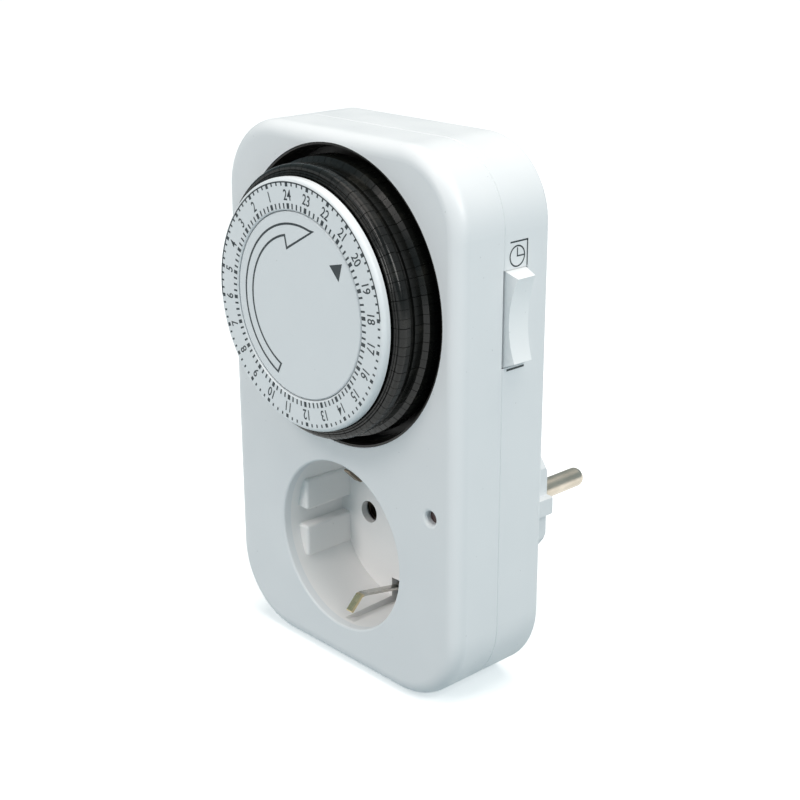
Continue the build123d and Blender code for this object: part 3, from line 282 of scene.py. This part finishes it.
SLOT_MATERIAL = {
    "housing_plastic": housing_mat,
    "dial_plastic": dial_mat,
    "black_plastic": carrier_mat,
    "dark_liner": liner_mat,
    "grey_plastic": grey_mat,
    "nickel_plated_brass": nickel_mat,
    "brass": brass_mat,
    "steel": steel_mat,
    "acetal": gear_mat,
    "red_lens": lens_mat,
    "lamp_glass": lamp_mat,
}
NODE_MATERIAL = {
    "rocker": rocker_mat,
    # socket cup gets the lighter white as painted light in the recess
    "socket_cup": lit_cup_mat,
    # contacts and upper earth strip get the darkened metal as painted shade
    "contact_live": shade_darkened_metal_mat,
    "contact_neutral": shade_darkened_metal_mat,
    "earth_spring_upper": shade_darkened_metal_mat,
    "earth_spring_lower": clip_mat,
}


def paint(obj, mat):
    obj.data.materials.clear()
    obj.data.materials.append(mat)


for part in frame["record"]["subparts"]:
    node_name = part["node"]
    node_mat = NODE_MATERIAL.get(node_name, SLOT_MATERIAL[part["material_slot"]])
    if node_name.startswith("tappets_"):
        node_mat = tappet_mat
    paint(nodes[node_name], node_mat)


# ---------------------------------------------------------------- printed graphics
def flat_piece(name, faces, mat, body):
    """A thin printed piece made of separate polygons, riding on a body."""
    mesh = bpy.data.meshes.new(name)
    work = bmesh.new()
    for face in faces:
        work.faces.new([work.verts.new(point) for point in face])
    work.normal_update()
    work.to_mesh(mesh)
    work.free()
    obj = bpy.data.objects.new(name, mesh)
    bpy.context.scene.collection.objects.link(obj)
    paint(obj, mat)
    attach(obj, body)
    return obj


def on_dial(clockwise, radius, depth):
    """Point on the dial at a clockwise angle from the top."""
    return (radius * math.sin(clockwise), depth, DIAL_Z + radius * math.cos(clockwise))


def tick(clockwise, inner, outer, width, depth):
    """Radial printed mark."""
    half = width / 2
    across = Vector((math.cos(clockwise), 0, -math.sin(clockwise))) * half
    low = Vector(on_dial(clockwise, inner, depth))
    high = Vector(on_dial(clockwise, outer, depth))
    return [low - across, low + across, high + across, high - across]


def arc_band(start, end, inner, outer, depth, steps):
    """Faces of a printed arc between two clockwise angles."""
    faces = []
    for index in range(steps):
        a = start + (end - start) * index / steps
        b = start + (end - start) * (index + 1) / steps
        faces.append([
            on_dial(a, inner, depth),
            on_dial(b, inner, depth),
            on_dial(b, outer, depth),
            on_dial(a, outer, depth),
        ])
    return faces


ring_ink = RING_FACE - PRINT
disc_ink = DISC_FACE - PRINT
marks = []
for quarter in range(96):
    angle = PHASE - HOUR_STEP * quarter / 4
    bold = quarter % 4 == 0
    width = HOUR_WIDTH if bold else QUARTER_WIDTH
    marks.append(tick(angle, *MARK_INNER, width, ring_ink))
    marks.append(tick(angle, *(HOUR_OUTER if bold else QUARTER_OUTER), width, ring_ink))
flat_piece("hour_marks", marks, ink_mat, "dial")
night_arc = arc_band(PHASE - HOUR_STEP * 6, PHASE + HOUR_STEP * 6, *NIGHT_ARC, ring_ink, 96)
flat_piece("night_arc", night_arc, ink_mat, "dial")


def numeral(value):
    """A printed hour number with its top towards the rim."""
    angle = PHASE - HOUR_STEP * value
    curve = bpy.data.curves.new(f"numeral_{value:02d}", "FONT")
    curve.body = str(value)
    curve.align_x = "CENTER"
    curve.align_y = "CENTER"
    curve.size = NUMERAL_SIZE
    curve.offset = NUMERAL_WEIGHT
    text = bpy.data.objects.new(f"text_{value:02d}", curve)
    bpy.context.scene.collection.objects.link(text)
    bpy.context.view_layer.update()
    mesh = bpy.data.meshes.new_from_object(text)
    bpy.data.objects.remove(text)
    low = Vector([min(v.co[i] for v in mesh.vertices) for i in range(3)])
    high = Vector([max(v.co[i] for v in mesh.vertices) for i in range(3)])
    centre = (low + high) / 2
    out = Vector((math.sin(angle), 0, math.cos(angle)))
    across = Vector((math.cos(angle), 0, -math.sin(angle)))
    place = Vector(on_dial(angle, NUMERAL_R, ring_ink))
    for vertex in mesh.vertices:
        offset = vertex.co - centre
        vertex.co = place + across * offset.x * NUMERAL_NARROWING + out * offset.y
    obj = bpy.data.objects.new(f"numeral_{value:02d}", mesh)
    bpy.context.scene.collection.objects.link(obj)
    paint(obj, ink_mat)
    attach(obj, "dial")


for hour in range(1, 25):
    numeral(hour)


def stroke(points, width, closed):
    """Mitred flat outline along points in the X-Z plane, as quads (all points share one depth)."""
    count = len(points)
    sides = []
    for index in range(count):
        here = Vector(points[index])
        before = Vector(points[(index - 1) % count]) if closed or index > 0 else None
        after = Vector(points[(index + 1) % count]) if closed or index < count - 1 else None
        first = (here - before).normalized() if before is not None else (after - here).normalized()
        second = (after - here).normalized() if after is not None else first
        normal_a = Vector((-first.z, 0, first.x))
        normal_b = Vector((-second.z, 0, second.x))
        miter = (normal_a + normal_b).normalized()
        reach = width / 2 / max(0.35, miter.dot(normal_a))
        sides.append((here + miter * reach, here - miter * reach))
    faces = []
    for index in range(count if closed else count - 1):
        a = sides[index]
        b = sides[(index + 1) % count]
        faces.append([a[0], b[0], b[1], a[1]])
    return faces


def arc_points(start, end, radius, steps):
    return [on_dial(start + (end - start) * i / steps, radius, disc_ink) for i in range(steps + 1)]


arrow = arc_points(*ARROW_OUTER_ARC, ARROW_OUTER_R, 72)
arrow += [(x, disc_ink, DIAL_Z + rise) for x, rise in (ARROW_TIP, ARROW_BARB)]
arrow += arc_points(*ARROW_INNER_ARC, ARROW_INNER_R, 60)
flat_piece("direction_arrow", stroke(arrow, ARROW_LINE, True), ink_mat, "housing")

pointer = Vector(on_dial(POINTER_ANGLE, POINTER_R, disc_ink))
corners = []
for turn in (0, 120, 240):
    heading = POINTER_HEADING + math.radians(turn)
    corners.append(pointer + Vector((math.sin(heading), 0, math.cos(heading))) * POINTER_SIZE)
flat_piece("time_pointer", [corners], ink_mat, "housing")

# clock symbol and bracket beside the rocker
side_x = SIDE + PRINT


def on_side(depth, z):
    return (side_x, FRONT + depth * MM, z * MM)


def side_line(a, b, width):
    """Printed line on the side face between two (depth, height) points."""
    start = Vector(on_side(*a))
    end = Vector(on_side(*b))
    run = (end - start).normalized()
    normal = Vector((0, -run.z, run.y)) * width * MM / 2
    start = start - run * width * MM / 2
    end = end + run * width * MM / 2
    return [start + normal, start - normal, end - normal, end + normal]


def clock_circle(steps):
    """Faces of the printed clock's rim on the side face."""
    depth, height = CLOCK_CENTRE
    inner = CLOCK_R - CLOCK_LINE / 2
    outer = CLOCK_R + CLOCK_LINE / 2
    faces = []
    for index in range(steps):
        a = 2 * math.pi * index / steps
        b = 2 * math.pi * (index + 1) / steps
        rims = [(inner, a), (outer, a), (outer, b), (inner, b)]
        faces.append([on_side(depth + r * math.cos(t), height + r * math.sin(t)) for r, t in rims])
    return faces


clock_depth, clock_height = CLOCK_CENTRE
symbol = [
    side_line(BRACKET_START, BRACKET_CORNER, BRACKET_LINE),
    side_line(BRACKET_CORNER, BRACKET_END, BRACKET_LINE),
    side_line(*LOWER_MARK, LOWER_LINE),
    side_line(CLOCK_CENTRE, (clock_depth, clock_height + MINUTE_HAND), HAND_LINE),
    side_line(CLOCK_CENTRE, (clock_depth + HOUR_HAND, clock_height), HAND_LINE),
]
flat_piece("side_symbol", symbol + clock_circle(40), ink_mat, "housing")


# ---------------------------------------------------------------- floor, light, camera
FLOOR_HALF = 3
floor_mesh = bpy.data.meshes.new("floor")
floor_corners = [(x * FLOOR_HALF, y * FLOOR_HALF, 0) for x, y in ((-1, -1), (1, -1), (1, 1), (-1, 1))]
floor_mesh.from_pydata(floor_corners, [], [(0, 1, 2, 3)])
floor = bpy.data.objects.new("floor", floor_mesh)
floor.location = (0, 0, shell_low.z - 0.2 * MM)
bpy.context.scene.collection.objects.link(floor)
floor_mat, floor_tree, floor_shader = principled("floor_paper", (0.955, 0.965, 0.965), 0.85)
floor_shader.inputs["Emission Color"].default_value = (1, 1, 1, 1)
floor_shader.inputs["Emission Strength"].default_value = 0.30
paper = noise(floor_tree, 60, 3)
add_bump(floor_tree, floor_shader, [paper.outputs["Fac"]], 0.05, 0.0002)
floor_mesh.materials.append(floor_mat)
floor.visible_diffuse = False


def area_light(name, place, target, size, power, color):
    """Round soft light at a place, turned towards a target."""
    data = bpy.data.lights.new(name, "AREA")
    data.shape = "DISK"
    data.size = size
    data.energy = power
    data.color = color
    lamp = bpy.data.objects.new(name, data)
    lamp.location = place
    lamp.rotation_euler = (Vector(target) - Vector(place)).to_track_quat("-Z", "Y").to_euler()
    bpy.context.scene.collection.objects.link(lamp)


def sun_light(name, heading, angle, strength, color):
    """Broad even light from a direction, so the floor stays bright far from the object."""
    data = bpy.data.lights.new(name, "SUN")
    data.energy = strength
    data.angle = math.radians(angle)
    data.color = color
    lamp = bpy.data.objects.new(name, data)
    lamp.rotation_euler = Vector(heading).to_track_quat("Z", "Y").to_euler()
    bpy.context.scene.collection.objects.link(lamp)


middle = (shell_low + rear_high) / 2
sun_light("overhead", (0.05, 0.12, 1.0), 55, 1.62, (1.0, 0.915, 0.845))
area_light("right_side", (0.62, -0.06, 0.44), middle, 0.4, 2.7, (1.0, 0.985, 0.965))
area_light("front_key", (-0.20, -0.98, 0.40), middle, 0.35, 2.65, (1.0, 0.935, 0.905))
area_light("front_high", (-0.06, -0.70, 0.74), middle, 0.3, 1.9, (1.0, 0.92, 0.875))

world = bpy.data.worlds.new("studio")
world.use_nodes = True
world.node_tree.nodes["Background"].inputs["Color"].default_value = (0.68, 0.915, 1.0, 1)
world.node_tree.nodes["Background"].inputs["Strength"].default_value = 0.37
bpy.context.scene.world = world
bpy.context.scene.view_settings.view_transform = "Standard"

CAMERA_PLACE = (0.2358, -0.2507, 0.1446)
CAMERA_AROUND = math.radians(47.32)     # from straight in front towards the right side
CAMERA_ABOVE = math.radians(19.65)
CAMERA_ROLL = math.radians(-0.17)
camera_data = bpy.data.cameras.new("camera")
camera_data.lens = 67.7
camera_data.sensor_width = 36
camera_data.clip_start = 0.01
camera_data.shift_x = -0.0009
camera_data.shift_y = 0.0006
camera = bpy.data.objects.new("camera", camera_data)
level = math.cos(CAMERA_ABOVE)
back = Vector((math.sin(CAMERA_AROUND) * level, -math.cos(CAMERA_AROUND) * level, math.sin(CAMERA_ABOVE)))
right = Vector((math.cos(CAMERA_AROUND), math.sin(CAMERA_AROUND), 0))
up = back.cross(right)
basis = Matrix((right, up, back)).transposed()
roll = Matrix.Rotation(CAMERA_ROLL, 3, "Z")
camera.matrix_world = Matrix.Translation(Vector(CAMERA_PLACE)) @ (basis @ roll).to_4x4()
bpy.context.scene.collection.objects.link(camera)
bpy.context.scene.camera = camera
